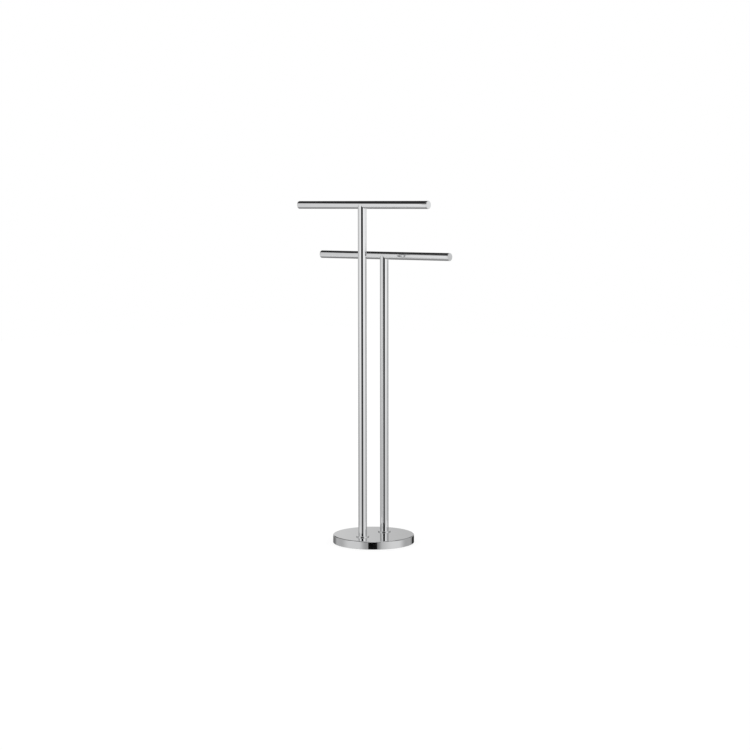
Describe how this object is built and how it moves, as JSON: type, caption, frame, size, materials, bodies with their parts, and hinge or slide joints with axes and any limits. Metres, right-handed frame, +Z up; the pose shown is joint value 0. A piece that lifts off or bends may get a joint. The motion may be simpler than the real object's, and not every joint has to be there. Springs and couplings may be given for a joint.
{
  "type": "freestanding towel stand",
  "caption": "Freestanding chrome towel stand: a tall and a low T-shaped rail side by side on a round weighted base, to hang towels over.",
  "frame": {"origin": "middle of the round base, on the floor", "axes": "+Z up; the rails run along X; the tall upright stands at -Y and the low one at +Y"},
  "size_m": [0.42, 0.21, 0.882],
  "materials": {
    "polished_chrome": "polished",
    "turned_steel": "turned",
    "zinc_plated_steel": "zinc plated",
    "ballast_iron": "as cast, painted",
    "black_rubber": "moulded, matt"
  },
  "bodies": {
    "root": {"base_shell": "polished_chrome", "base_ballast": "ballast_iron", "base_pad": "black_rubber", "tall_rail": "polished_chrome", "tall_rail_cap_left": "polished_chrome", "tall_rail_cap_right": "polished_chrome", "tall_post": "polished_chrome", "tall_collar": "polished_chrome", "tall_barrel_nut": "turned_steel", "tall_saddle_plug": "turned_steel", "tall_foot_bush": "turned_steel", "tall_tie_rod": "zinc_plated_steel", "tall_washer": "zinc_plated_steel", "tall_spring_washer": "zinc_plated_steel", "tall_nut": "zinc_plated_steel", "low_rail": "polished_chrome", "low_rail_cap_left": "polished_chrome", "low_rail_cap_right": "polished_chrome", "low_post": "polished_chrome", "low_collar": "polished_chrome", "low_barrel_nut": "turned_steel", "low_saddle_plug": "turned_steel", "low_foot_bush": "turned_steel", "low_tie_rod": "zinc_plated_steel", "low_washer": "zinc_plated_steel", "low_spring_washer": "zinc_plated_steel", "low_nut": "zinc_plated_steel"}
  },
  "joints": []
}
